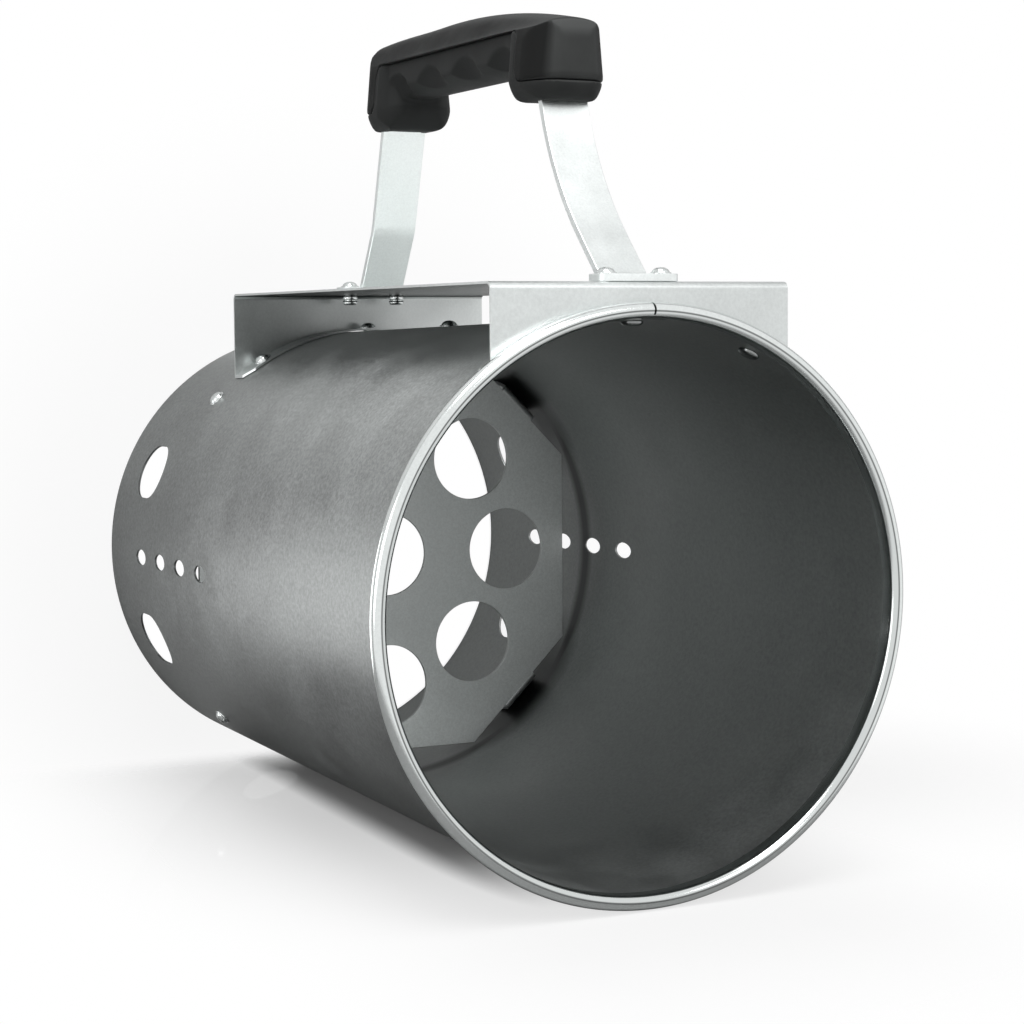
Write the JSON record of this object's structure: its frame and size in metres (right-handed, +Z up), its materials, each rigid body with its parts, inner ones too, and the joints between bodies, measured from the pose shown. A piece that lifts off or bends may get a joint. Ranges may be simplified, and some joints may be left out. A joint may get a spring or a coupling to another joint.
{
  "type": "chimney charcoal starter",
  "caption": "Upright sheet-steel chimney for lighting charcoal, with a perforated grate, a riveted handle bracket and a strap handle with a moulded grip.",
  "frame": {"origin": "centre of the tube's base edge, on the plane it stands on", "axes": "+Z up the tube axis towards the rolled rim, +X towards the handle, +Y completes the right-handed frame"},
  "size_m": [0.2968, 0.194, 0.296],
  "materials": {
    "tube_sheet": "fine-grained galvanised sheet",
    "grate_sheet": "plain galvanised sheet",
    "bracket_sheet": "smooth galvanised sheet",
    "strap_steel": "bright zinc-plated flat bar",
    "rivet_steel": "bright rivet",
    "grip_plastic": "soft matt black moulding",
    "finger_plastic": "soft matt black moulding"
  },
  "bodies": {
    "root": {"body_tube": "tube_sheet", "grate": "grate_sheet", "handle_bracket": "bracket_sheet", "handle_strap": "strap_steel", "grip_upper": "grip_plastic", "grip_lower": "finger_plastic", "grate_rivet_1": "rivet_steel", "grate_rivet_2": "rivet_steel", "grate_rivet_3": "rivet_steel", "grate_rivet_4": "rivet_steel", "rear_bracket_rivet_1": "rivet_steel", "rear_bracket_rivet_2": "rivet_steel", "rear_bracket_rivet_3": "rivet_steel", "front_bracket_rivet_1": "rivet_steel", "front_bracket_rivet_2": "rivet_steel", "front_bracket_rivet_3": "rivet_steel", "seam_rivet_1": "rivet_steel", "seam_rivet_2": "rivet_steel", "rear_foot_rivet_1": "rivet_steel", "rear_foot_rivet_2": "rivet_steel", "front_foot_rivet_1": "rivet_steel", "front_foot_rivet_2": "rivet_steel"}
  },
  "joints": []
}
